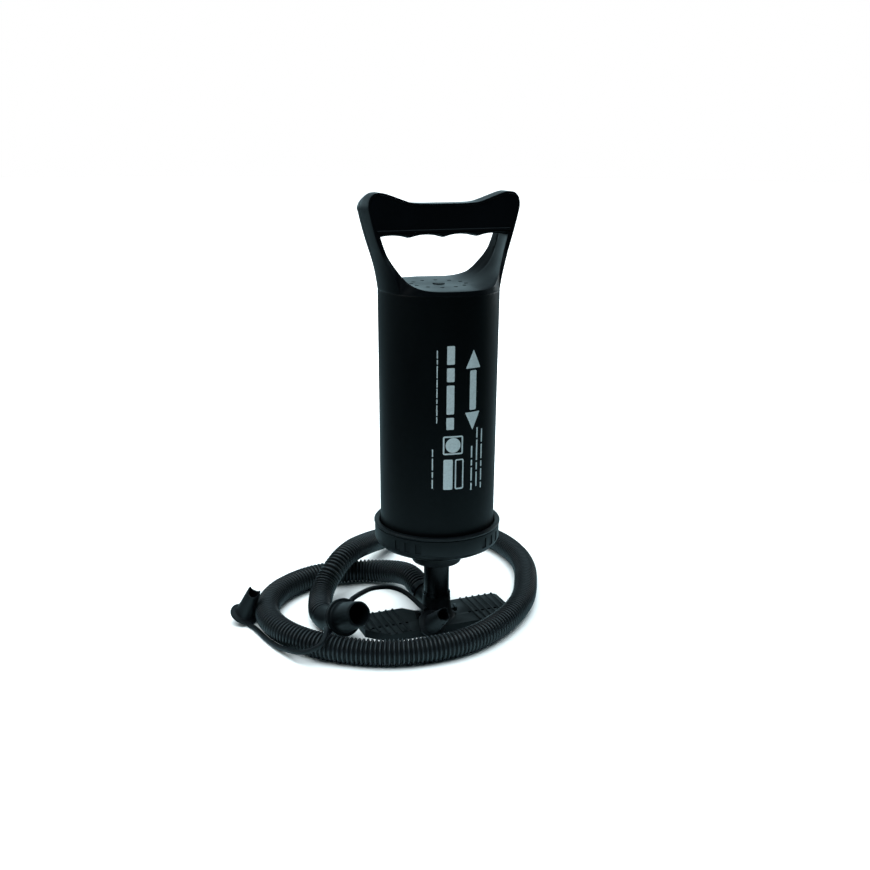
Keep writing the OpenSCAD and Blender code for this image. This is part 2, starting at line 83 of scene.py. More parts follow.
# The hose's and the tether arms' centre lines in metres: smooth curves through the CAD
# model's points, drawn in by up to 0.7 mm at the outermost ones to keep within its size
HOSE_ROUTE = [
    (0, 0.0205, 0.0125), (0, 0.026, 0.0125), (-0.0003, 0.036, 0.0146),
    (-0.0013, 0.048, 0.016), (-0.004, 0.062, 0.0138), (-0.011, 0.075, 0.0108),
    (-0.0205, 0.0835, 0.0093), (-0.031, 0.088, 0.009), (-0.046, 0.091, 0.009),
    (-0.064, 0.0897, 0.009), (-0.0811, 0.0825, 0.009), (-0.0959, 0.0715, 0.009),
    (-0.1069, 0.0562, 0.009), (-0.1128, 0.038, 0.009), (-0.1127, 0.020, 0.009),
    (-0.1075, 0.002, 0.009), (-0.0976, -0.0155, 0.009), (-0.0837, -0.0311, 0.009),
    (-0.0666, -0.0429, 0.009), (-0.0466, -0.0511, 0.009), (-0.0256, -0.0542, 0.009),
    (-0.0055, -0.053, 0.009), (0.0144, -0.0469, 0.009), (0.0348, -0.035, 0.009),
    (0.0529, -0.020, 0.009), (0.0683, -0.002, 0.009), (0.0815, 0.0205, 0.009),
    (0.093, 0.045, 0.009), (0.0993, 0.070, 0.009), (0.0998, 0.097, 0.009),
    (0.0935, 0.120, 0.009), (0.078, 0.1374, 0.009), (0.057, 0.147, 0.009),
    (0.034, 0.1488, 0.0095), (0.014, 0.140, 0.012), (-0.003, 0.123, 0.0175),
    (-0.016, 0.107, 0.0225), (-0.032, 0.0888, 0.0269), (-0.0455, 0.0755, 0.0263),
    (-0.0555, 0.0665, 0.0218), (-0.063, 0.0605, 0.0158), (-0.069, 0.052, 0.0112),
    (-0.0735, 0.041, 0.009), (-0.077, 0.027, 0.009), (-0.0762, 0.016, 0.009),
    (-0.073, 0.00664, 0.01148), (-0.071, -0.002, 0.016)]
TETHER_LEFT_ROUTE = [
    (-0.0812, -0.0083, 0.0106), (-0.0838, -0.0104, 0.0108), (-0.0856, -0.014, 0.0145),
    (-0.087, -0.019, 0.0186), (-0.089, -0.027, 0.0206), (-0.0925, -0.0335, 0.0188),
    (-0.0961, -0.0354, 0.0155), (-0.1016, -0.0311, 0.011), (-0.1074, -0.0243, 0.0075),
    (-0.1122, -0.0133, 0.005), (-0.1163, -0.0018, 0.003), (-0.120, 0.0138, 0.002),
    (-0.123, 0.031, 0.002), (-0.1258, 0.04005, 0.00175)]
TETHER_RIGHT_ROUTE = [
    (-0.063, 0.003, 0.0245), (-0.060, 0.005, 0.0258), (-0.0525, 0.0095, 0.0266),
    (-0.0433, 0.0143, 0.0265), (-0.0326, 0.017, 0.025), (-0.0252, 0.0166, 0.023),
    (-0.019, 0.012, 0.0205), (-0.0154, 0.005, 0.0178), (-0.0136, -0.003, 0.0162),
    (-0.0126, -0.0115, 0.016)]

# Where the nozzle and the valve tips lie: place in millimetres, turn and tilt in degrees
NOZZLE_LIES = ((-71, -2, 16), 13, 27)
LEFT_TIP_LIES = ((-126.7, 49.4, 6.8), 38, 63)
RIGHT_TIP_LIES = ((-11, -20.2, 9.4), 8, 40)
LEFT_TIP_SPIN = math.radians(-26)


# ---- Settings ----


def length(name, description, default):
    return bpy.props.FloatProperty(
        name=name, description=description, default=default, min=0, unit="LENGTH", precision=5)


def colour(name, description, default):
    return bpy.props.FloatVectorProperty(
        name=name, description=description, default=default, size=3, min=0, max=1,
        subtype="COLOR")


class PumpHoseSizes(bpy.types.PropertyGroup):
    """Sizes of the hose, its nozzle and the tethered valve tips."""
    diameter: length("Hose diameter", "Outer diameter of the corrugated hose", 0.0175)
    rib_pitch: length("Rib pitch", "Distance from one rib to the next", 0.0029)
    groove_depth: length("Groove depth", "How far the grooves lie below the ribs", 0.0016)
    plain_start: length("Plain start", "Plain length inside the port's cuff", 0.004)
    sleeve: length("Sleeve length", "Length of hose that the nozzle's sleeve covers", 0.025)
    strap_width: length("Strap width", "Width of the tether's arms", 0.0034)
    strap_thickness: length("Strap thickness", "Thickness of the tether's arms", 0.0032)


class PumpBodySizes(bpy.types.PropertyGroup):
    """Sizes of the handle, barrel, cap and foot."""
    handle_edge: length("Handle edge", "Rounding of the handle's long edges", 0.0009)
    panel_recess: length("Panel recess", "Depth of the panel in the grip's faces", 0.00035)
    seam_depth: length("Seam depth", "Depth of the handle's moulding seam", 0.0003)
    vent_radius: length("Vent radius", "Radius of each air vent in the handle's deck", 0.0015)
    vent_ring: length("Vent ring", "Radius of the circle that the vents lie on", 0.018)
    vent_count: bpy.props.IntProperty(
        name="Vents", description="Number of air vents in the deck", default=12, min=3)
    slot_depth: length("Slot depth", "Depth of the grip slots in the cap's band", 0.0006)
    foot_edge: length("Foot edge", "Rounding of the foot plate's edges", 0.00035)


class PumpColours(bpy.types.PropertyGroup):
    """Colours of the pump's finishes."""
    barrel: colour("Barrel", "Satin plastic of the barrel", (0.0009, 0.0014, 0.0018))
    cap: colour("Cap", "Satin plastic of the cap and the nozzle", (0.0018, 0.0027, 0.0033))
    handle: colour("Handle", "Moulded plastic of the handle", (0.0008, 0.0011, 0.0020))
    foot: colour("Foot", "Matte plastic of the foot plate", (0.0025, 0.0038, 0.0044))
    hose: colour("Hose", "Glossy plastic of the hose", (0.0004, 0.0005, 0.0007))
    # The crest colour is a painted highlight on the hose's ribs, not wear.
    hose_crest_highlight: colour("Hose crests", "Worn crests of the hose's ribs", (0.013, 0.0165, 0.019))
    rubber: colour("Rubber", "Rubber of the tether, tips and seals", (0.0022, 0.0030, 0.0038))
    steel: colour("Steel", "Dull plated screws", (0.16, 0.165, 0.17))
    print: colour("Print", "Ink of the barrel's print", (0.62, 0.70, 0.71))
    floor: colour("Floor", "Studio floor", (0.86, 0.87, 0.87))


class PumpStudio(bpy.types.PropertyGroup):
    """Where the camera stands and how bright the studio is."""
    distance: length("Camera distance", "Level distance from the column to the camera", 0.70)
    height: length("Camera height", "Height of the camera above the floor", 0.335)
    azimuth: bpy.props.FloatProperty(
        name="Azimuth", description="Turn of the camera round the pump, towards -X",
        default=math.radians(22.5), subtype="ANGLE")
    pitch: bpy.props.FloatProperty(
        name="Pitch", description="How far the camera looks down",
        default=math.radians(15.7), subtype="ANGLE")
    yaw: bpy.props.FloatProperty(
        name="Yaw", description="Turn of the camera's aim to its left",
        default=math.radians(0.14), subtype="ANGLE")
    roll: bpy.props.FloatProperty(
        name="Roll", description="Lean of the camera about its aim",
        default=math.radians(0.4), subtype="ANGLE")
    lens: bpy.props.FloatProperty(
        name="Lens", description="Focal length in millimetres on a 36 mm sensor",
        default=44.32, min=10)
    backdrop: bpy.props.FloatProperty(
        name="Backdrop", description="Brightness of the white wall behind the pump",
        default=1.5, min=0)
    panel_power: bpy.props.FloatProperty(
        name="Panel power", description="Power of the soft panel overhead", default=120.0,
        min=0, unit="POWER")


SETTINGS = {"pump_hose": PumpHoseSizes, "pump_body": PumpBodySizes,
            "pump_colours": PumpColours, "pump_studio": PumpStudio}


# ---- Bench: selecting, drawing and finishing a piece ----


def clear_selection():
    if bpy.context.mode != "OBJECT":
        bpy.ops.object.mode_set(mode="OBJECT")
    bpy.ops.object.select_all(action="DESELECT")


def pick(piece):
    """Makes piece the one selected and active object."""
    clear_selection()
    piece.hide_set(False)
    piece.select_set(True)
    bpy.context.view_layer.objects.active = piece


def start_edit(piece, mode="FACE"):
    pick(piece)
    bpy.ops.object.mode_set(mode="EDIT")
    bpy.ops.mesh.select_mode(type=mode)
    bpy.ops.mesh.select_all(action="DESELECT")


def stop_edit():
    bpy.ops.object.mode_set(mode="OBJECT")


def select_all():
    bpy.ops.mesh.select_all(action="SELECT")


def choose_faces(piece, test):
    """In edit mode, selects the faces whose centre and normal pass the test."""
    mesh = bmesh.from_edit_mesh(piece.data)
    for face in mesh.faces:
        face.select_set(bool(test(face.calc_center_median(), face.normal)))
    bmesh.update_edit_mesh(piece.data)


def named(name):
    """The active new primitive, under its own name."""
    piece = bpy.context.object
    piece.name = piece.data.name = name
    return piece


def placed(name, data):
    """A new object in the scene that holds the data."""
    item = bpy.data.objects.new(name, data)
    bpy.context.scene.collection.objects.link(item)
    return item


def close_up(piece):
    """Merges the seam of a closed shape and turns its faces outwards."""
    start_edit(piece)
    select_all()
    bpy.ops.mesh.remove_doubles(threshold=0.002 * MM)
    bpy.ops.mesh.normals_make_consistent(inside=False)
    stop_edit()


def settle(piece):
    """Puts the object's place, turn and scale into its mesh."""
    pick(piece)
    bpy.ops.object.transform_apply(location=True, rotation=True, scale=True)


def apply_modifier(piece, kind, **values):
    """Adds a modifier, sets it and applies it."""
    pick(piece)
    modifier = piece.modifiers.new(kind.title(), kind)
    for key, value in values.items():
        setattr(modifier, key, value)
    bpy.ops.object.modifier_apply(modifier=modifier.name)


def round_edges(piece, width, segments=2, above=40):
    """Rounds every edge sharper than an angle in degrees."""
    apply_modifier(piece, "BEVEL", width=width, segments=segments, limit_method="ANGLE",
                   angle_limit=math.radians(above), harden_normals=False,
                   use_clamp_overlap=True)


def shade(piece, angle=32):
    pick(piece)
    bpy.ops.object.shade_smooth_by_angle(angle=math.radians(angle))


def spun(name, outline, steps):
    """A round piece about +Z: the outline of (radius, height) in millimetres is drawn by
    extruding a point, closed, and spun through a full turn."""
    clear_selection()
    points = [Vector((r * MM, 0, z * MM)) for r, z in outline]
    bpy.ops.mesh.primitive_plane_add(size=MM, location=(0, 0, 0))
    piece = named(name)
    bpy.ops.object.mode_set(mode="EDIT")
    bpy.ops.mesh.select_mode(type="VERT")
    select_all()
    bpy.ops.mesh.merge(type="CENTER")
    select_all()
    bpy.ops.transform.translate(value=points[0])
    for here, there in zip(points, points[1:] + points[:1]):
        bpy.ops.mesh.extrude_vertices_move(TRANSFORM_OT_translate={"value": there - here})
    select_all()
    bpy.ops.mesh.remove_doubles(threshold=0.002 * MM)
    select_all()
    bpy.ops.mesh.spin(steps=steps, angle=math.tau, center=(0, 0, 0), axis=(0, 0, 1))
    stop_edit()
    close_up(piece)
    return piece


def cut_away(piece, cutter):
    """Cuts cutter's volume out of piece, and removes cutter."""
    apply_modifier(piece, "BOOLEAN", object=cutter, operation="DIFFERENCE", solver="EXACT")
    bpy.data.objects.remove(cutter)


def rod(name, radius, low, high, sides):
    """A plain rod about +Z, used as a cutter, in millimetres."""
    clear_selection()
    bpy.ops.mesh.primitive_cylinder_add(
        vertices=sides, radius=radius * MM, depth=(high - low) * MM,
        location=(0, 0, (high + low) / 2 * MM))
    piece = named(name)
    settle(piece)
    return piece


def cut_across(piece, height, turn, *size):
    """Cuts a round hole across piece at a height: along X (turned about Y) or along -Y."""
    cutter = rod("cross_cutter", *size)
    cutter.matrix_world = (Matrix.Translation((0, 0, height * MM))
                           @ Matrix.Rotation(math.radians(90), 4, turn))
    settle(cutter)
    cut_away(piece, cutter)


def joined(name, parts):
    """Joins several meshes into one object."""
    clear_selection()
    for part in parts:
        part.select_set(True)
    bpy.context.view_layer.objects.active = parts[0]
    bpy.ops.object.join()
    return named(name)


def lie(piece, lies):
    """Lays a piece that was made about +Z where it belongs: its +Z turns to the mouth."""
    (x, y, z), turn, tilt = lies
    piece.matrix_world = (Matrix.Translation((x * MM, y * MM, z * MM))
                          @ Matrix.Rotation(math.radians(turn), 4, "Z")
                          @ Matrix.Rotation(math.radians(90 - tilt), 4, "X"))
    settle(piece)


def hand_over(piece, body, slot, finish, *nodes):
    """Gives a finished piece its body and finish, and hides the CAD nodes it replaces. Its slot
    argument is not used.
    """
    piece.data.materials.clear()
    piece.data.materials.append(make_finishes(bpy.context.scene)[finish])
    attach(piece, body)
    if nodes:
        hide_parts(*nodes)


# ---- Finishes ----


def noise(tree, coords, size, detail=3.0, stretch=(1, 1, 1)):
    """A noise pattern whose features are about size metres across."""
    mapping = tree.nodes.new("ShaderNodeMapping")
    mapping.inputs["Scale"].default_value = stretch
    pattern = tree.nodes.new("ShaderNodeTexNoise")
    pattern.inputs["Scale"].default_value = 1 / size
    pattern.inputs["Detail"].default_value = detail
    tree.links.new(coords.outputs["Object"], mapping.inputs["Vector"])
    tree.links.new(mapping.outputs["Vector"], pattern.inputs["Vector"])
    return pattern.outputs["Fac"]


def ranged(tree, value, low, high, start=0.3, end=0.7):
    """A pattern's values spread from low to high."""
    node = tree.nodes.new("ShaderNodeMapRange")
    for name, number in (("From Min", start), ("From Max", end), ("To Min", low),
                         ("To Max", high)):
        node.inputs[name].default_value = number
    tree.links.new(value, node.inputs["Value"])
    return node.outputs["Result"]


def blend(tree, share, a, b, kind="MIX"):
    """One colour blended into another. Each input is a socket, a number or a colour."""
    node = tree.nodes.new("ShaderNodeMix")
    node.data_type, node.blend_type = "RGBA", kind
    for slot, value in ((0, share), (6, a), (7, b)):
        if isinstance(value, bpy.types.NodeSocket):
            tree.links.new(value, node.inputs[slot])
        else:
            node.inputs[slot].default_value = value if slot == 0 else (*value, 1)
    return node.outputs[2]


def mottled(tree, value, colour, light):
    """The colour, drifting to a lighter one where the pattern is high."""
    return blend(tree, ranged(tree, value, 0, 1), colour, [min(1, c * light) for c in colour])


def bumped(tree, value, depth, under=None):
    """A bump of the given depth in metres, on top of another one."""
    node = tree.nodes.new("ShaderNodeBump")
    node.inputs["Strength"].default_value = 1.0
    node.inputs["Distance"].default_value = depth
    tree.links.new(value, node.inputs["Height"])
    if under is not None:
        tree.links.new(under, node.inputs["Normal"])
    return node.outputs["Normal"]


def new_finish(name):
    finish = bpy.data.materials.new(name)
    finish.use_nodes = True
    tree = finish.node_tree
    return finish, tree, tree.nodes["Principled BSDF"], tree.nodes.new("ShaderNodeTexCoord")


def moulded(name, colour, roughness, grain=0.0004, depth=0.000004, specular=0.5, light=1.5,
            flow=(1, 1, 1)):
    """Moulded plastic: a fine grain, slow waves in the skin, and flow marks in its gloss."""
    finish, tree, shader, coords = new_finish(name)
    shader.inputs["Specular IOR Level"].default_value = specular
    cloud = noise(tree, coords, 0.022, 4, flow)
    fine = noise(tree, coords, grain, 2)
    wave = noise(tree, coords, 0.009, 1, flow)
    tree.links.new(mottled(tree, cloud, colour, light), shader.inputs["Base Color"])
    tree.links.new(ranged(tree, cloud, roughness * 0.88, roughness * 1.14),
                   shader.inputs["Roughness"])
    skin = bumped(tree, wave, depth * 6)
    tree.links.new(bumped(tree, fine, depth, skin), shader.inputs["Normal"])
    return finish


def painted_crest_highlight(finish, dark, light):
    """Painted highlight: the ribs' crests are painted lighter than the grooves, as light
    catching them, and made glossier.
    """
    tree = finish.node_tree
    shader = tree.nodes["Principled BSDF"]
    height = tree.nodes.new("ShaderNodeAttribute")
    height.attribute_name = RIB_HEIGHT
    crest = ranged(tree, height.outputs["Fac"], 0, 1, 0.5, 1.0)
    tree.links.new(blend(tree, crest, dark, light), shader.inputs["Base Color"])
    gloss = ranged(tree, height.outputs["Fac"], 0.7, 0.24, 0.3, 0.9)
    tree.links.new(gloss, shader.inputs["Roughness"])


def rubbery(name, colour, roughness=0.55):
    """Rubber: dull, with a faint bloom in patches and a fine grain."""
    _, tree, shader, coords = new_finish(name)
    shader.inputs["Specular IOR Level"].default_value = 0.3
    bloom = noise(tree, coords, 0.007, 4)
    fine = noise(tree, coords, 0.0003, 2)
    tree.links.new(mottled(tree, bloom, colour, 1.7), shader.inputs["Base Color"])
    tree.links.new(ranged(tree, bloom, roughness * 0.85, roughness * 1.15),
                   shader.inputs["Roughness"])
    tree.links.new(bumped(tree, fine, 0.000006), shader.inputs["Normal"])


def plated(name, colour):
    """Plated steel that has gone dull, with fine scratches and patches."""
    _, tree, shader, coords = new_finish(name)
    shader.inputs["Metallic"].default_value = 1.0
    patch = noise(tree, coords, 0.002, 3)
    scratch = noise(tree, coords, 0.0004, 2, (1, 1, 9))
    tree.links.new(mottled(tree, patch, colour, 1.25), shader.inputs["Base Color"])
    tree.links.new(ranged(tree, scratch, 0.26, 0.44), shader.inputs["Roughness"])
    tree.links.new(bumped(tree, scratch, 0.000008), shader.inputs["Normal"])


def inked(name, colour):
    """Pad printed ink: even, slightly thin in places, with a dull skin."""
    _, tree, shader, coords = new_finish(name)
    shader.inputs["Specular IOR Level"].default_value = 0.3
    thin = noise(tree, coords, 0.0012, 3)
    tree.links.new(mottled(tree, thin, colour, 1.2), shader.inputs["Base Color"])
    tree.links.new(ranged(tree, thin, 0.45, 0.6), shader.inputs["Roughness"])


def make_finishes(scene):
    """The pump's finishes by name. Each is made once."""
    if "barrel skin" in bpy.data.materials:
        return {m.name: m for m in bpy.data.materials}
    c = scene.pump_colours
    moulded("barrel skin", c.barrel, 0.40, specular=0.26, flow=(1, 1, 0.25))
    moulded("cap skin", c.cap, 0.42, grain=0.00035, depth=0.000006, specular=0.28)
    moulded("handle skin", c.handle, 0.36, specular=0.40, light=1.4)
    moulded("insert skin", c.handle, 0.48, grain=0.0005, depth=0.00001, specular=0.4)
    moulded("foot skin", c.foot, 0.46, grain=0.0005, depth=0.00001, specular=0.25)
    # The hose's rib crests get a painted highlight.
    painted_crest_highlight(moulded("hose skin", c.hose, 0.22, specular=0.5), c.hose, c.hose_crest_highlight)
    moulded("column skin", c.handle, 0.24, specular=0.22, flow=(1, 1, 0.1))
    rubbery("seal rubber", c.rubber)
    rubbery("tip rubber", c.rubber, 0.48)
    plated("screw zinc", c.steel)
    inked("print ink", c.print)
    return {m.name: m for m in bpy.data.materials}


# ---- Cords ----


def smooth_line(points, steps):
    """A Catmull-Rom curve through the points, in steps between each two."""
    points = [Vector(p) for p in points]
    ends = [2 * points[0] - points[1], *points, 2 * points[-1] - points[-2]]
    line = []
    for a, b, c, d in zip(ends, ends[1:], ends[2:], ends[3:]):
        for k in range(steps):
            t = k / steps
            line.append(0.5 * (2 * b + (c - a) * t + (2 * a - 5 * b + 4 * c - d) * t * t
                               + (3 * b - a - 3 * c + d) * t ** 3))
    return line + [points[-1]]


class Line:
    """A centre line that gives the point and the frame at a length along it."""

    def __init__(self, points):
        self.points = points
        self.along = [0.0]
        for a, b in zip(points, points[1:]):
            self.along.append(self.along[-1] + (b - a).length)
        self.length = self.along[-1]

    def at(self, distance):
        distance = min(max(distance, 0), self.length)
        low, high = 0, len(self.along) - 1
        while high - low > 1:
            middle = (low + high) // 2
            low, high = (middle, high) if self.along[middle] <= distance else (low, middle)
        share = (distance - self.along[low]) / max(self.along[high] - self.along[low], 1e-12)
        return self.points[low].lerp(self.points[high], share)

    def frame(self, distance):
        """The point, the level direction across the line, and the one that rises."""
        ahead = (self.at(distance + 0.4 * MM) - self.at(distance - 0.4 * MM)).normalized()
        level = Vector((ahead.y, -ahead.x, 0)).normalized()
        return self.at(distance), level, level.cross(ahead)


def swept(name, line, stations, section):
    """A closed tube: at each (distance, size) the section's points are set round the line."""
    sides = len(section)
    points, faces = [], []
    for distance, size in stations:
        place, level, rise = line.frame(distance)
        points += [place + level * (u * size) + rise * (v * size) for u, v in section]
    for i in range(len(stations) - 1):
        for k in range(sides):
            m = (k + 1) % sides
            faces.append((i * sides + k, i * sides + m,
                          (i + 1) * sides + m, (i + 1) * sides + k))
    last = (len(stations) - 1) * sides
    points += [line.frame(stations[0][0])[0], line.frame(stations[-1][0])[0]]
    for k in range(sides):
        m = (k + 1) % sides
        faces.append((len(points) - 2, m, k))
        faces.append((len(points) - 1, last + k, last + m))
    mesh = bpy.data.meshes.new(name)
    mesh.from_pydata(points, [], faces)
    piece = placed(name, mesh)
    close_up(piece)
    return piece


def hose_line():
    return Line(smooth_line(HOSE_ROUTE, 12))


def circle_section(sides):
    return [(math.cos(math.tau * k / sides), math.sin(math.tau * k / sides))
            for k in range(sides)]


def strap_section(width, thickness, sides=16):
    """An oval with full sides, width across and thickness up."""
    return [(math.copysign(abs(c) ** STRAP_FULLNESS, c) * width / 2,
             math.copysign(abs(s) ** STRAP_FULLNESS, s) * thickness / 2)
            for c, s in circle_section(sides)]


# Power of the straps' oval section: 1 is an ellipse, less is fuller at the corners
STRAP_FULLNESS = 0.8
# Name of the hose's own measure of how far a point stands up from the grooves, 0 to 1
RIB_HEIGHT = "rib_height"
HOSE_SIDES = 20
# One rib of the hose: share of the pitch, and share of the groove's depth below the crest
RIB_PROFILE = [(0.00, 1.00), (0.11, 0.97), (0.22, 0.62), (0.34, 0.16), (0.50, 0.00),
               (0.66, 0.16), (0.78, 0.62), (0.89, 0.97)]


def hose_stations(line, sizes):
    """Ring places and radii along the hose: plain in the cuff, then ribs to the sleeve."""
    radius, groove = sizes.diameter / 2, sizes.groove_depth
    start, end = sizes.plain_start, line.length - sizes.sleeve + 2 * MM
    count = round((end - start) / sizes.rib_pitch)
    pitch = (end - start) / count
    stations = [(0, radius - groove)]
    for rib in range(count):
        stations += [(start + (rib + share) * pitch, radius - depth * groove)
                     for share, depth in RIB_PROFILE]
    return stations + [(end, radius - groove), (line.length - 0.4 * MM, radius - groove)]


class PUMP_OT_hose(bpy.types.Operator):
    """Lays the corrugated hose from the port round the pump to the nozzle"""
    bl_idname = "pump.hose"
    bl_label = "Hose"

    def execute(self, context):
        sizes = context.scene.pump_hose
        line = hose_line()
        stations = hose_stations(line, sizes)
        hose = swept("hose_corrugated", line, stations, circle_section(HOSE_SIDES))
        shade(hose, 80)
        deepest = sizes.diameter / 2 - sizes.groove_depth
        # These rib heights drive the hose finish's painted crest highlight.
        heights = hose.data.attributes.new(RIB_HEIGHT, "FLOAT", "POINT")
        for index, (_, radius) in enumerate(stations):
            share = (radius - deepest) / sizes.groove_depth
            for side in range(HOSE_SIDES):
                heights.data[index * HOSE_SIDES + side].value = share
        hand_over(hose, "base", "hose_plastic", "hose skin", "hose")
        return {"FINISHED"}


class PUMP_OT_tether(bpy.types.Operator):
    """Moulds the tether's two arms and the ring that holds them on the nozzle"""
    bl_idname = "pump.tether"
    bl_label = "Tether"

    def execute(self, context):
        sizes = context.scene.pump_hose
        section = strap_section(sizes.strap_width, sizes.strap_thickness)
        arms = (("left", TETHER_LEFT_ROUTE), ("right", TETHER_RIGHT_ROUTE))
        for side, route in arms:
            line = Line(smooth_line(route, 10))
            count = round(line.length / (0.9 * MM))
            stations = [(line.length * k / count, 1) for k in range(count + 1)]
            arm = swept("tether_arm_" + side, line, stations, section)
            shade(arm, 50)
            hand_over(arm, "base", "black_rubber", "tip rubber", "tether_" + side)
        ring = spun("tether_collar", [(9.5, 0.3), (12.3, 0.3), (12.9, 1.0), (12.9, 2.3),
                                      (12.3, 2.8), (9.5, 2.8)], 72)
        round_edges(ring, 0.3 * MM)
        shade(ring)
        lie(ring, NOZZLE_LIES)
        hand_over(ring, "base", "black_rubber", "tip rubber", "tether_ring")
        return {"FINISHED"}


class PUMP_OT_nozzle(bpy.types.Operator):
    """Turns the nozzle with its flange and mouth, and the sleeve that holds the hose"""
    bl_idname = "pump.nozzle"
    bl_label = "Nozzle"

    def execute(self, context):
        nozzle = spun("nozzle_body", [
            (6.9, 0.2), (9.3, 0.2), (9.3, 2.9), (12.6, 2.9), (13, 3.3), (13, 4.6), (12.6, 5),
            (11.2, 5.1), (10.5, 5.6), (10.2, 6.6), (9.95, 10), (9.6, 15), (9.15, 20),
            (8.75, 24.5), (8.6, 26.2), (8.3, 26.85), (7.9, 27), (7.45, 26.85), (7.2, 26.3),
            (6.9, 22)], 96)
        shade(nozzle, 30)
        lie(nozzle, NOZZLE_LIES)
        hand_over(nozzle, "base", "dark_plastic", "cap skin", "nozzle")
        sizes = context.scene.pump_hose
        line = hose_line()
        radius = sizes.diameter / 2
        start = line.length - sizes.sleeve
        stations = [(start + step * MM, radius + size * MM)
                    for step, size in ((0, -1.2), (0.05, -0.3), (0.35, -0.05), (0.8, 0.05))]
        full, proud = stations[-1]
        count = 20
        stations += [(full + (line.length - full) * k / count, proud)
                     for k in range(1, count + 1)]
        sleeve = swept("nozzle_sleeve", line, stations, circle_section(40))
        shade(sleeve, 50)
        hand_over(sleeve, "base", "dark_plastic", "cap skin")
        return {"FINISHED"}


def valve_tip(name, spin):
    """A valve tip about +Z: a flange, a thin tapered tube with a forked end, and a side fin.
    Spin turns the finished tip about its own axis."""
    tube = spun(name, [
        (2.6, -2.4), (9.3, -2.4), (9.9, -1.9), (10, -1.2), (9.9, -0.5), (9.3, -0.05),
        (7.6, 0), (6.9, 0.35), (6.5, 1.2), (6.1, 5), (5.3, 13.5), (4.65, 20.5), (4.45, 21.7),
        (4.2, 22), (4.0, 22), (3.85, 21.5), (3.9, 12), (4.1, 4), (2.6, 3.2)], 64)
    cut_across(tube, 21.9, "Y", 3.4, -8, 8, 40)
    cut_across(tube, 14.5, "X", 1.0, 0, 9, 20)
    clear_selection()
    bpy.ops.mesh.primitive_cube_add(size=MM, location=(5.7 * MM, 0, 8.5 * MM))
    fin = named(name + "_fin")
    fin.scale = (2.6, 1.5, 17)
    settle(fin)
    start_edit(fin)
    choose_faces(fin, lambda centre, normal: normal.z > 0.9)
    bpy.ops.transform.resize(value=(0.35, 0.8, 1))
    bpy.ops.transform.translate(value=(-1.4 * MM, 0, 0))
    stop_edit()
    round_edges(fin, 0.3 * MM)
    apply_modifier(tube, "BOOLEAN", object=fin, operation="UNION", solver="EXACT")
    bpy.data.objects.remove(fin)
    start_edit(tube)
    select_all()
    bpy.ops.transform.rotate(value=spin, orient_axis="Z", center_override=(0, 0, 0))
    stop_edit()
    shade(tube, 38)
    return tube


class PUMP_OT_valve_tips(bpy.types.Operator):
    """Moulds the two valve tips that hang on the tether"""
    bl_idname = "pump.valve_tips"
    bl_label = "Valve Tips"

    def execute(self, context):
        tips = (("left", LEFT_TIP_LIES, LEFT_TIP_SPIN), ("right", RIGHT_TIP_LIES, 0))
        for side, lies, spin in tips:
            tip = valve_tip("tip_" + side, spin)
            lie(tip, lies)
            hand_over(tip, "base", "black_rubber", "tip rubber", "valve_tip_" + side)
        return {"FINISHED"}


# ---- Handle ----

# Half of the handle's loop, from the middle of the deck up the right arm to the middle of
# the grip. Each row is: the inner skin's place (x, z), its half depth and its bow; then the
# same for the outer skin. Heights are above the barrel's top. A half depth of 0 means that
# the skin ends on the barrel's own circle.
HANDLE_STATIONS = [
    ((0, 3.0, 0, 0.0), (0, 0, 0, 0.0)),
    ((12, 3.0, 0, 0.0), (13, 0, 0, 0.0)),
    ((20, 3.3, 0, 0.0), (22, 0, 0, 0.0)),
    ((26, 4.6, 0, 0.0), (29, 0, 0, 0.0)),
    ((31, 7.0, 25.1, 0.1), (34, 0, 21.0, 0.0)),
    ((34.6, 9.9, 21.9, 0.3), (38.4, 0, 20.4, 0.7)),
    ((37.2, 12.8, 19.3, 0.55), (40, 0.2, 20.0, 1.0)),
    ((39.0, 15.5, 17.3, 0.75), (40.6, 4, 19.8, 1.0)),
    ((40.3, 18.3, 15.4, 0.85), (41.6, 9.5, 18.9, 1.0)),
    ((41.2, 21.2, 13.7, 0.85), (43.0, 16, 16.4, 0.95)),
    ((42.1, 24.6, 12.4, 0.75), (44.8, 23, 13.2, 0.8)),
    ((43.6, 30.0, 11.7, 0.6), (47.1, 30.5, 11.8, 0.65)),
    ((45.0, 35.0, 11.5, 0.5), (49.4, 39, 11.5, 0.5)),
    ((45.6, 36.9, 11.5, 0.3), (51.3, 47, 11.5, 0.4)),
    ((45.3, 37.3, 11.5, 0.1), (52.4, 53, 11.5, 0.35)),
    ((44.9, 37.3, 11.5, 0.0), (51.3, 58.1, 11.5, 0.2)),
    ((44.4, 37.3, 11.5, 0.0), (48.4, 61.1, 11.5, 0.1)),
    ((43.5, 37.3, 11.5, 0.0), (44.8, 61.9, 11.5, 0.0)),
    ((42.0, 37.3, 11.5, 0.0), (41, 61.5, 11.5, 0.0)),
    ((38.0, 37.3, 11.5, 0.0), (35, 59.6, 11.5, 0.0)),
    ((30.0, 37.3, 11.5, 0.0), (28.5, 57.3, 11.5, 0.0)),
    ((22.0, 37.3, 11.5, 0.0), (22, 55.5, 11.5, 0.0)),
    ((11.0, 37.3, 11.5, 0.0), (11, 54.9, 11.5, 0.0)),
    ((0, 37.3, 11.5, 0.0), (0, 54.9, 11.5, 0.0))]
# Shares of the half depth at which the skins have their rows of points; the close ones
# make the moulding seam, whose two middle ones are sunk
SKIN_ROWS = [-1, -0.8, -0.6, -0.4, -0.2, 0, 0.2, 0.31, 0.35, 0.39, 0.43, 0.6, 0.8, 1]
SEAM_ROWS = (0.35, 0.39)
# Width of the rim round the grip's panel, and of the step down to it, in millimetres
PANEL_RIM = 1.3
PANEL_STEP = 0.3
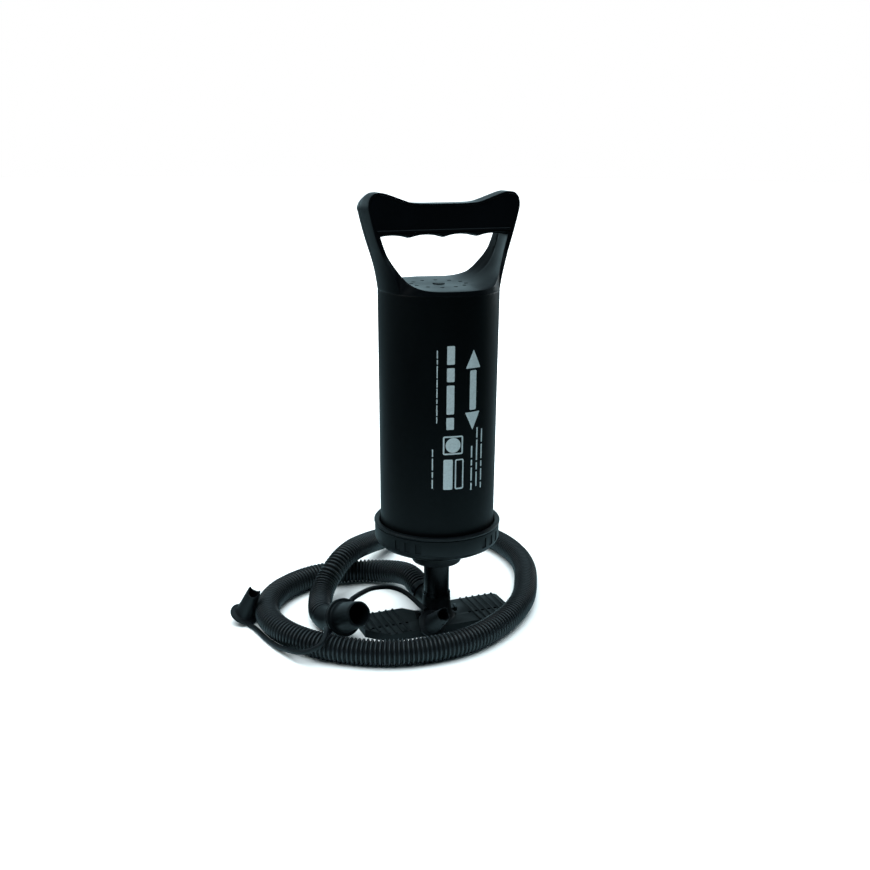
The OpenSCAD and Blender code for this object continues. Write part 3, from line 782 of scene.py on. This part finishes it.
# Where the palm's side starts to fall, over what height, and how far in the middle and more
# at the horns, in millimetres
PALM_START, PALM_RISE = 50, 7
PALM_FALL, HORN_FALL = 1, 2.6


def blended(rows, steps):
    """Catmull-Rom through rows of eight numbers."""
    ends = [[2 * a - b for a, b in zip(rows[0], rows[1])], *rows,
            [2 * a - b for a, b in zip(rows[-1], rows[-2])]]
    out = []
    for a, b, c, d in zip(ends, ends[1:], ends[2:], ends[3:]):
        for k in range(steps):
            t = k / steps
            out.append([0.5 * (2 * q + (r - p) * t + (2 * p - 5 * q + 4 * r - s) * t * t
                               + (3 * q - p - 3 * r + s) * t ** 3)
                        for p, q, r, s in zip(a, b, c, d)])
    return out + [list(rows[-1])]


def handle_rows():
    """The stations with each half depth of 0 worked out from the barrel's circle."""
    rows = []
    for skins in HANDLE_STATIONS:
        row = []
        for x, z, depth, bow in skins:
            row += [x, z, depth or math.sqrt(BARREL_RADIUS ** 2 - x ** 2), bow]
        rows.append(row)
    return rows


def within(value):
    """The value kept from 0 to 1."""
    return min(1, max(0, value))


def skin_point(x, z, depth, bow, share):
    """A point of a skin at a share of its half depth, bowed as round as the barrel. The
    palm's side of the grip falls towards the back, most at the horns."""
    y = depth * share
    palm = within((z - PALM_START) / PALM_RISE)
    fall = palm * (PALM_FALL + HORN_FALL * within((x - 12) / 24)) * max(0, share) ** 1.2
    bowed = BARREL_RADIUS - math.sqrt(max(BARREL_RADIUS ** 2 - y * y, 0))
    return Vector((x - bow * bowed, y, z - fall + BARREL_TOP))


def skin_row(skin, sink):
    """The points across a skin from front to back, with the seam's rows sunk."""
    return [skin_point(*skin, share) + (sink if share in SEAM_ROWS else Vector())
            for share in SKIN_ROWS]


def side_face(inner, outer, side, thick, recess):
    """The points from the inner skin to the outer one on the back (1) or the front (-1)."""
    rim = min(PANEL_RIM, thick * 0.3)
    shares = [rim / thick, (rim + PANEL_STEP) / thick]
    shares += [1 - share for share in reversed(shares)]
    a, b = skin_point(*inner, side), skin_point(*outer, side)
    face = [a.lerp(b, share) for share in shares]
    for point in face[1:3]:
        point.y -= side * recess
    return face


def handle_ring(row, sizes):
    """The points round one section: inner skin, back, outer skin and front."""
    inner, outer = row[:4], row[4:]
    thick = math.dist(inner[:2], outer[:2])
    seam = sizes.seam_depth / MM * within((inner[1] - 6) / 8)
    recess = sizes.panel_recess / MM * within((inner[1] - 33) / 4)
    across = Vector((outer[0] - inner[0], 0, outer[1] - inner[1])) / thick
    ring = skin_row(inner, across * seam) + side_face(inner, outer, 1, thick, recess)
    ring += reversed(skin_row(outer, across * -seam))
    ring += reversed(side_face(inner, outer, -1, thick, recess))
    return [point * MM for point in ring]


def handle_loop(sizes, steps):
    """All rings round the loop: the right half, and the left half as its mirror image."""
    right = [handle_ring(row, sizes) for row in blended(handle_rows(), steps)]
    left = [[Vector((-p.x, p.y, p.z)) for p in ring] for ring in reversed(right[1:-1])]
    return right + left


class PUMP_OT_handle(bpy.types.Operator):
    """Shapes the loop handle from a ring, and drills its air vents"""
    bl_idname = "pump.handle"
    bl_label = "Handle"

    def execute(self, context):
        sizes = context.scene.pump_body
        rings = handle_loop(sizes, 5)
        clear_selection()
        bpy.ops.mesh.primitive_torus_add(
            major_segments=len(rings), minor_segments=len(rings[0]),
            major_radius=40 * MM, minor_radius=5 * MM)
        handle = named("handle_loop")
        points = [c for ring in rings for p in ring for c in p]
        handle.data.vertices.foreach_set("co", points)
        handle.data.update()
        close_up(handle)
        round_edges(handle, sizes.handle_edge, 3, 60)
        deck = BARREL_TOP
        drills = []
        for k in range(sizes.vent_count):
            angle = math.tau * (k + 0.5) / sizes.vent_count
            drill = rod("vent_drill", sizes.vent_radius / MM, deck - 2, deck + 9, 20)
            drill.location = (sizes.vent_ring * math.cos(angle),
                              sizes.vent_ring * math.sin(angle), 0)
            settle(drill)
            drills.append(drill)
        drills.append(rod("stud_drill", 2.6, deck - 2, deck + 9, 32))
        cut_away(handle, joined("vent_drills", drills))
        shade(handle, 28)
        hand_over(handle, "barrel", "black_plastic", "handle skin", "handle_frame")
        return {"FINISHED"}


class PUMP_OT_grip_insert(bpy.types.Operator):
    """Carves the insert under the grip, with a hollow for each finger"""
    bl_idname = "pump.grip_insert"
    bl_label = "Grip Insert"

    def execute(self, context):
        half, depth = 44.9, 22.4
        top, low = BARREL_TOP + 37.1, BARREL_TOP + 33.2
        clear_selection()
        bpy.ops.mesh.primitive_cube_add(size=MM, location=(0, 0, (top + low) / 2 * MM))
        insert = named("grip_insert_bar")
        insert.scale = (2 * half, depth, top - low)
        settle(insert)
        start_edit(insert)
        slices = 94
        for k in range(1, slices):
            select_all()
            place = (-half + 2 * half * k / slices) * MM
            bpy.ops.mesh.bisect(plane_co=(place, 0, 0), plane_no=(1, 0, 0))
        for share in (-0.8, -0.5, 0, 0.5, 0.8):
            select_all()
            bpy.ops.mesh.bisect(plane_co=(0, share * depth / 2 * MM, 0), plane_no=(0, 1, 0))
        stop_edit()
        pitch, hollow, radius = 23.5, 1.9, 39.0
        for vertex in insert.data.vertices:
            if vertex.co.z < (low + 0.5) * MM:
                x, y = vertex.co.x / MM, vertex.co.y / MM
                off = (x / pitch - 0.5 - math.floor(x / pitch)) * pitch
                rise = hollow - (radius - math.sqrt(radius ** 2 - off ** 2))
                belly = 1.3 * (2 * y / depth) ** 4
                vertex.co.z = (low + max(rise, 0) + belly) * MM
        close_up(insert)
        round_edges(insert, 0.5 * MM, 2, 50)
        shade(insert, 35)
        hand_over(insert, "barrel", "dark_plastic", "insert skin", "grip_insert")
        return {"FINISHED"}


# ---- Barrel ----


class PUMP_OT_barrel(bpy.types.Operator):
    """Turns the tapered barrel with its rounded top edge"""
    bl_idname = "pump.barrel"
    bl_label = "Barrel"

    def execute(self, context):
        low, high = BARREL_LOW.z / MM, BARREL_HIGH.z / MM
        top, foot, bore = BARREL_RADIUS, BARREL_RADIUS - BARREL_TAPER, 36.5
        steps = 12
        wall = [(foot + (top - foot) * k / steps, low + (high - 1 - low) * k / steps)
                for k in range(steps + 1)]
        outline = [(bore, low), (foot - 0.3, low), *wall, (top - 0.03, high - 0.3),
                   (top - 0.15, high - 0.08), (top - 0.4, high), (bore, high)]
        barrel = spun("barrel_tube", outline, 180)
        shade(barrel, 30)
        hand_over(barrel, "barrel", "dark_plastic", "barrel skin", "barrel")
        return {"FINISHED"}


def barrel_radius(z):
    """The barrel's outer radius in millimetres at a height in millimetres."""
    return BARREL_RADIUS - BARREL_TAPER * (BARREL_TOP - z) / (BARREL_TOP - BARREL_LOW.z / MM)


def flat_mark(width, height, across, up, corner=0.0, corners=4):
    """A flat rounded shape, width by height, centred at (across, up), in millimetres."""
    clear_selection()
    if corners == 4:
        bpy.ops.mesh.primitive_plane_add(size=MM, location=(across * MM, up * MM, 0))
    else:
        bpy.ops.mesh.primitive_circle_add(
            vertices=corners, radius=MM, fill_type="NGON", location=(across * MM, up * MM, 0))
    mark = named("mark")
    mark.scale = (width, height, 1)
    settle(mark)
    if corner:
        start_edit(mark, "VERT")
        select_all()
        bpy.ops.mesh.bevel(offset=corner * MM, segments=4, affect="VERTICES")
        stop_edit()
    return mark


def arrow_head(width, height, across, up, point):
    """A flat triangle that points up (1) or down (-1)."""
    mark = flat_mark(width, height, across, up)
    start_edit(mark, "VERT")
    mesh = bmesh.from_edit_mesh(mark.data)
    for vertex in mesh.verts:
        vertex.select_set((vertex.co.y - up * MM) * point > 0)
    mesh.select_flush(True)
    bmesh.update_edit_mesh(mark.data)
    bpy.ops.mesh.merge(type="CENTER")
    select_all()
    bpy.ops.mesh.bevel(offset=0.5 * MM, segments=3, affect="VERTICES")
    stop_edit()
    return mark


def dashes(width, across, low, lengths, gap):
    """A column of short bars, from low upwards."""
    marks, here = [], low
    for size in lengths:
        marks.append(flat_mark(width, size, across, here + size / 2,
                               min(0.25 * width, 0.6) if width > 1 else 0))
        here += size + gap
    return marks


def frame_mark(width, height, across, up, line):
    """A rounded frame: a filled shape whose middle is inset and removed."""
    mark = flat_mark(width, height, across, up, 1.2)
    start_edit(mark)
    select_all()
    bpy.ops.mesh.inset(thickness=line * MM, depth=0)
    bpy.ops.mesh.delete(type="FACE")
    stop_edit()
    return mark


def print_marks():
    """The barrel's print, laid out flat: across is round the barrel, up is height."""
    marks = [flat_mark(5.0, 26, 8.4, 177.5, 0.9)]
    marks += [arrow_head(11.4, 12, 8.4, 197.9, 1), arrow_head(11.4, 12, 8.4, 157.1, -1)]
    marks += dashes(5.0, -7.4, 152.5, [8, 19, 9, 12], 2.2)
    marks += dashes(0.7, -16.1, 157, [4, 7, 3, 6, 5, 8, 3, 5], 0.9)
    marks += dashes(0.8, -18.6, 113, [6, 4, 8, 5], 1.2)
    marks += [frame_mark(13.5, 12.5, -5.2, 142, 1.0), flat_mark(5.0, 5.0, -5.2, 142, 0, 24)]
    marks += [flat_mark(6.2, 20.5, -8.4, 122.3, 1.0), frame_mark(6.0, 20.5, -0.8, 122.3, 0.9)]
    marks += dashes(1.1, 8.2, 110, [5, 9, 4, 8], 1.4)
    marks += dashes(1.1, 12.4, 112, [10, 5, 14, 7], 1.4)
    marks += dashes(1.1, 16.6, 110, [4, 8, 4, 10, 9], 1.4)
    return marks


class PUMP_OT_print(bpy.types.Operator):
    """Lays plain bars and a double arrow on the barrel's front as its print"""
    bl_idname = "pump.print"
    bl_label = "Barrel Print"

    def execute(self, context):
        ink = joined("barrel_print", print_marks())
        start_edit(ink)
        for k in range(-21, 22):
            select_all()
            bpy.ops.mesh.bisect(plane_co=(k * MM, 0, 0), plane_no=(1, 0, 0))
        stop_edit()
        proud = 0.05
        for vertex in ink.data.vertices:
            across, up = vertex.co.x / MM, vertex.co.y / MM
            radius = barrel_radius(up) + proud
            angle = math.radians(-90) + across / radius
            vertex.co = Vector((radius * math.cos(angle), radius * math.sin(angle), up)) * MM
        apply_modifier(ink, "SOLIDIFY", thickness=0.08 * MM, offset=-1)
        close_up(ink)
        hand_over(ink, "barrel", "dark_plastic", "print ink")
        return {"FINISHED"}


# ---- Bottom cap ----

# Where each group of three slots stands round the cap and how far apart they are, in degrees
SLOT_GROUPS = (-140, -54, 40, 126)
SLOT_PITCH = 10.5


class PUMP_OT_bottom_cap(bpy.types.Operator):
    """Turns the bottom cap and sinks the grip slots into its band"""
    bl_idname = "pump.bottom_cap"
    bl_label = "Bottom Cap"

    def execute(self, context):
        sizes = context.scene.pump_body
        lip, low = CAP_HIGH.z / MM, CAP_LOW.z / MM
        band = lip - 15
        under = band - 3
        outline = [
            (9.05, low), (16.1, low), (16.9, low + 0.3), (17.2, low + 0.9), (17.5, low + 3),
            (18.2, under - 4), (19, under - 1.2), (20.6, under), (33, under),
            (37.4, under + 0.4), (39.8, band - 1.3), (41.6, band + 0.4), (42.6, band + 2.2),
            (42.9, band + 3.2), (43.0, band + 10.4), (43.0, lip - 2.7), (42.6, lip - 2.5),
            (42.6, lip - 2.1), (43.2, lip - 1.8), (43.5, lip - 1.3), (43.5, lip - 0.7),
            (43.1, lip - 0.15), (42.4, lip), (40.6, lip), (40.0, lip - 0.3), (39.3, lip - 1.4),
            (39.2, lip - 13.4), (13, lip - 13.4), (13, low + 7.6), (9.05, low + 7.6)]
        cap = spun("cap_shell", outline, 240)
        start_edit(cap)
        slots = [group + SLOT_PITCH * k for group in SLOT_GROUPS for k in (-1, 0, 1)]
        for slot in slots:
            def inside(centre, normal):
                angle = math.degrees(math.atan2(centre.y, centre.x))
                apart = (angle - slot + 180) % 360 - 180
                wall = centre.xy.length > 42.7 * MM
                return (abs(apart) < 3.0 and wall
                        and (band + 3.1) * MM < centre.z < (band + 10.5) * MM)
            bpy.ops.mesh.select_all(action="DESELECT")
            choose_faces(cap, inside)
            bpy.ops.mesh.inset(thickness=0.25 * MM, depth=0)
            bpy.ops.mesh.inset(thickness=0.15 * MM, depth=-sizes.slot_depth)
        stop_edit()
        shade(cap, 32)
        hand_over(cap, "barrel", "dark_plastic", "cap skin", "bottom_cap")
        return {"FINISHED"}


# ---- Foot ----


class PUMP_OT_foot(bpy.types.Operator):
    """Rounds the edges of the foot plate, its treads and its hub"""
    bl_idname = "pump.foot"
    bl_label = "Foot Plate"

    def execute(self, context):
        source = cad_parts["foot_plate"]
        plate = placed("foot_plate_shell", source.data.copy())
        plate.hide_render = plate.hide_viewport = False
        start_edit(plate)
        select_all()
        bpy.ops.mesh.remove_doubles(threshold=0.001 * MM)
        bpy.ops.mesh.dissolve_limited(angle_limit=math.radians(0.5))
        stop_edit()
        round_edges(plate, context.scene.pump_body.foot_edge, 2, 30)
        close_up(plate)
        shade(plate, 30)
        hand_over(plate, "base", "dark_plastic", "foot skin", "foot_plate")
        return {"FINISHED"}


# ---- Pieces that keep their CAD shape ----

NODE_FINISHES = {
    "column skin": ("column", "hub_collar", "hose_cuff", "port_spigot"),
    "cap skin": ("piston_lower", "piston_upper", "top_intake_stud", "gland_retainer"),
    "seal rubber": ("piston_seal", "piston_bumper", "shuttle_ring", "handle_o_ring",
                    "top_intake_disc", "barrel_gasket", "rod_seal", "bottom_intake_disc"),
    "screw zinc": ("hub_screws", "piston_screws"),
}


class PUMP_OT_inner_parts(bpy.types.Operator):
    """Gives the column, the piston, the valves, the seals and the screws their finishes"""
    bl_idname = "pump.inner_parts"
    bl_label = "Inner Parts"

    def execute(self, context):
        finishes = make_finishes(context.scene)
        for finish, nodes in NODE_FINISHES.items():
            for node in nodes:
                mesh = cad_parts[node].data
                mesh.materials.clear()
                mesh.materials.append(finishes[finish])
        return {"FINISHED"}


# ---- Studio ----


def set_camera(studio):
    """Stands the camera in front of the pump, a little to its left, looking down."""
    a, p = studio.azimuth, studio.pitch
    place = Vector((-math.sin(a) * studio.distance, -math.cos(a) * studio.distance,
                    studio.height))
    aim = a - studio.yaw
    ahead = Vector((math.sin(aim) * math.cos(p), math.cos(aim) * math.cos(p), -math.sin(p)))
    right = ahead.cross(Vector((0, 0, 1))).normalized()
    up = right.cross(ahead)
    c, s = math.cos(studio.roll), math.sin(studio.roll)
    right, up = c * right + s * up, c * up - s * right
    data = bpy.data.cameras.new("studio_camera")
    data.lens, data.sensor_width = studio.lens, 36
    data.clip_start, data.clip_end = 0.01, 60
    camera = placed("studio_camera", data)
    turn = Matrix((right, up, -ahead)).transposed().to_4x4()
    camera.matrix_world = Matrix.Translation(place) @ turn
    bpy.context.scene.camera = camera


def maths(tree, operation, a, b):
    """A maths node on two inputs, each a socket or a number."""
    node = tree.nodes.new("ShaderNodeMath")
    node.operation = operation
    for slot, value in ((0, a), (1, b)):
        if isinstance(value, (int, float)):
            node.inputs[slot].default_value = value
        else:
            tree.links.new(value, node.inputs[slot])
    return node.outputs[0]


def ramp(tree, value, stops):
    """A smooth grey ramp through (place, level) stops."""
    node = tree.nodes.new("ShaderNodeValToRGB")
    node.color_ramp.interpolation = "EASE"
    elements = node.color_ramp.elements
    while len(elements) < len(stops):
        elements.new(0.5)
    for element, (place, level) in zip(elements, stops):
        element.position = place
        element.color = (level, level, level, 1)
    tree.links.new(value, node.inputs["Fac"])
    return node.outputs["Color"]


# How far the room's dark side is turned from the front, towards -X
DARK_SIDE = math.radians(20)
# The room's brightness as (place, level) stops: the wall by its turn away from the back, the
# wall and the ceiling by the sine of their height
WALL_TURN = [(0.0, 1.0), (0.06, 0.90), (0.14, 0.52), (0.30, 0.28), (0.50, 0.09), (0.75, 0.012)]
WALL_HEIGHT = [(0.0, 1.0), (0.10, 0.75), (0.24, 0.50), (0.50, 0.15)]
CEILING = [(0.62, 0.0), (0.90, 0.7)]
# The floor's painted light in reflections, pale near the pump and behind it with painted shade
# towards the camera: round the pump, by its turn away from the back, and behind the pump by the
# distance in metres. Last its glow to the camera by the distance
FLOOR_NEAR = [(0.12, 0.62), (0.20, 0.30), (0.30, 0.12), (0.45, 0.03)]
FLOOR_TURN = [(0.05, 1.0), (0.22, 0.42), (0.40, 0.16), (0.60, 0.03)]
FLOOR_FADE = [(0.25, 1.0), (0.40, 0.75), (0.60, 0.35), (0.85, 0.12)]
FLOOR_GLOW = [(0.25, 0.0), (0.80, 1.0)]
COOL_WALL = (0.62, 0.90, 1.0)
COOL_FLOOR = (0.66, 0.92, 1.0)
COOL_LIGHT = (0.92, 0.98, 1.0)
WHITE = (1, 1, 1)


def towards_camera(tree, vector):
    """How far a vector reaches towards the room's dark side, and how far upwards."""
    parts = tree.nodes.new("ShaderNodeSeparateXYZ")
    tree.links.new(vector, parts.inputs[0])
    reach = maths(tree, "ADD",
                  maths(tree, "MULTIPLY", parts.outputs[0], -math.sin(DARK_SIDE)),
                  maths(tree, "MULTIPLY", parts.outputs[1], -math.cos(DARK_SIDE)))
    return reach, parts.outputs[2]


def seen_white(tree, other):
    """White to the camera and the other colour to every other ray, and which ray it is."""
    camera = tree.nodes.new("ShaderNodeLightPath").outputs["Is Camera Ray"]
    return blend(tree, camera, other, WHITE), camera


def light_room(studio):
    """A dark room with a pale ceiling and wall. The wall is brightest behind the pump and
    fades upwards and to the sides."""
    world = bpy.data.worlds.new("studio_room")
    bpy.context.scene.world = world
    world.use_nodes = True
    tree = world.node_tree
    coords = tree.nodes.new("ShaderNodeTexCoord")
    reach, rise = towards_camera(tree, coords.outputs["Generated"])
    share = maths(tree, "MULTIPLY_ADD", reach, 0.5)
    share.node.inputs[2].default_value = 0.5
    wall = maths(tree, "MULTIPLY", ramp(tree, share, WALL_TURN), ramp(tree, rise, WALL_HEIGHT))
    level = maths(tree, "ADD", wall, ramp(tree, rise, CEILING))
    level = maths(tree, "MULTIPLY", level, studio.backdrop)
    colour, _ = seen_white(tree, blend(tree, 1, level, COOL_WALL, "MULTIPLY"))
    tree.links.new(colour, tree.nodes["Background"].inputs["Color"])


def lay_floor(scene):
    """A pale round floor, white to the camera. In reflections its colour is painted light: pale
    round the pump and behind it, and painted shade away from the pump towards the camera, as
    the floor of a dark room beyond the lit table would be."""
    clear_selection()
    bpy.ops.mesh.primitive_circle_add(vertices=128, radius=8, fill_type="NGON")
    floor = named("studio_floor")
    start_edit(floor)
    select_all()
    bpy.ops.mesh.inset(thickness=3, depth=0)
    stop_edit()
    finish, tree, shader, coords = new_finish("studio floor")
    shader.inputs["Roughness"].default_value = 0.9
    shader.inputs["Specular IOR Level"].default_value = 0.1
    reach, _ = towards_camera(tree, coords.outputs["Object"])
    away = tree.nodes.new("ShaderNodeVectorMath")
    away.operation = "LENGTH"
    tree.links.new(coords.outputs["Object"], away.inputs[0])
    distance = away.outputs["Value"]
    # Painted light in reflections: the floor's colour is pale near the pump and behind it, with
    # painted shade towards the camera.
    behind = maths(tree, "MULTIPLY", ramp(tree, maths(tree, "ADD", reach, 0.6), FLOOR_TURN),
                   ramp(tree, distance, FLOOR_FADE))
    level = maths(tree, "MAXIMUM", ramp(tree, distance, FLOOR_NEAR), behind)
    lit, camera = seen_white(tree, blend(tree, 1, level, COOL_FLOOR, "MULTIPLY"))
    pale = blend(tree, 1, lit, scene.pump_colours.floor, "MULTIPLY")
    tree.links.new(pale, shader.inputs["Base Color"])
    glow = maths(tree, "MULTIPLY", ramp(tree, distance, FLOOR_GLOW), camera)
    shader.inputs["Emission Color"].default_value = (*WHITE, 1)
    tree.links.new(glow, shader.inputs["Emission Strength"])
    floor.data.materials.append(finish)


def hang_panel(name, place, size, power, mirrored=True):
    """A soft rectangular light that faces the pump's middle. An unmirrored one doesn't
    show in reflections."""
    data = bpy.data.lights.new(name, "AREA")
    data.shape = "RECTANGLE"
    data.size, data.size_y = size
    data.energy = power
    data.color = COOL_LIGHT
    light = placed(name, data)
    light.visible_glossy = mirrored
    middle = (cad_low + cad_high) / 2
    light.location = place
    light.rotation_euler = (middle - Vector(place)).to_track_quat("-Z", "Y").to_euler()


class PUMP_OT_studio(bpy.types.Operator):
    """Sets the camera, the pale floor and the soft lights"""
    bl_idname = "pump.studio"
    bl_label = "Studio"

    def execute(self, context):
        studio = context.scene.pump_studio
        set_camera(studio)
        light_room(studio)
        lay_floor(context.scene)
        hang_panel("panel_over", (-0.2, 0.1, 2.2), (3, 3), studio.panel_power, False)
        hang_panel("panel_left", (-1.5, 0.1, 1.1), (0.7, 0.7), studio.panel_power * 0.03)
        hang_panel("panel_right", (1.5, 0.6, 0.5), (0.35, 0.9), studio.panel_power * 0.02)
        context.scene.view_settings.view_transform = "Standard"
        return {"FINISHED"}


STEPS = [PUMP_OT_studio, PUMP_OT_nozzle, PUMP_OT_valve_tips, PUMP_OT_hose, PUMP_OT_tether,
         PUMP_OT_foot, PUMP_OT_bottom_cap, PUMP_OT_barrel, PUMP_OT_print, PUMP_OT_handle,
         PUMP_OT_grip_insert, PUMP_OT_inner_parts]


class PUMP_PT_panel(bpy.types.Panel):
    """The pump's sizes, colours and building steps"""
    bl_idname = "PUMP_PT_panel"
    bl_label = "Hand Pump"
    bl_space_type = "VIEW_3D"
    bl_region_type = "UI"
    bl_category = "Hand Pump"

    def draw(self, context):
        for name, group in SETTINGS.items():
            box = self.layout.box()
            box.label(text=group.__doc__)
            for key in group.__annotations__:
                box.prop(getattr(context.scene, name), key)
        for step in STEPS:
            self.layout.operator(step.bl_idname)


CLASSES = [*SETTINGS.values(), *STEPS, PUMP_PT_panel]


def register():
    for item in CLASSES:
        bpy.utils.register_class(item)
    for name, group in SETTINGS.items():
        setattr(bpy.types.Scene, name, bpy.props.PointerProperty(type=group))


def unregister():
    for name in SETTINGS:
        delattr(bpy.types.Scene, name)
    for item in reversed(CLASSES):
        bpy.utils.unregister_class(item)


def main():
    register()
    for step in STEPS:
        group, operation = step.bl_idname.split(".")
        getattr(getattr(bpy.ops, group), operation)()


if __name__ == "__main__":
    main()
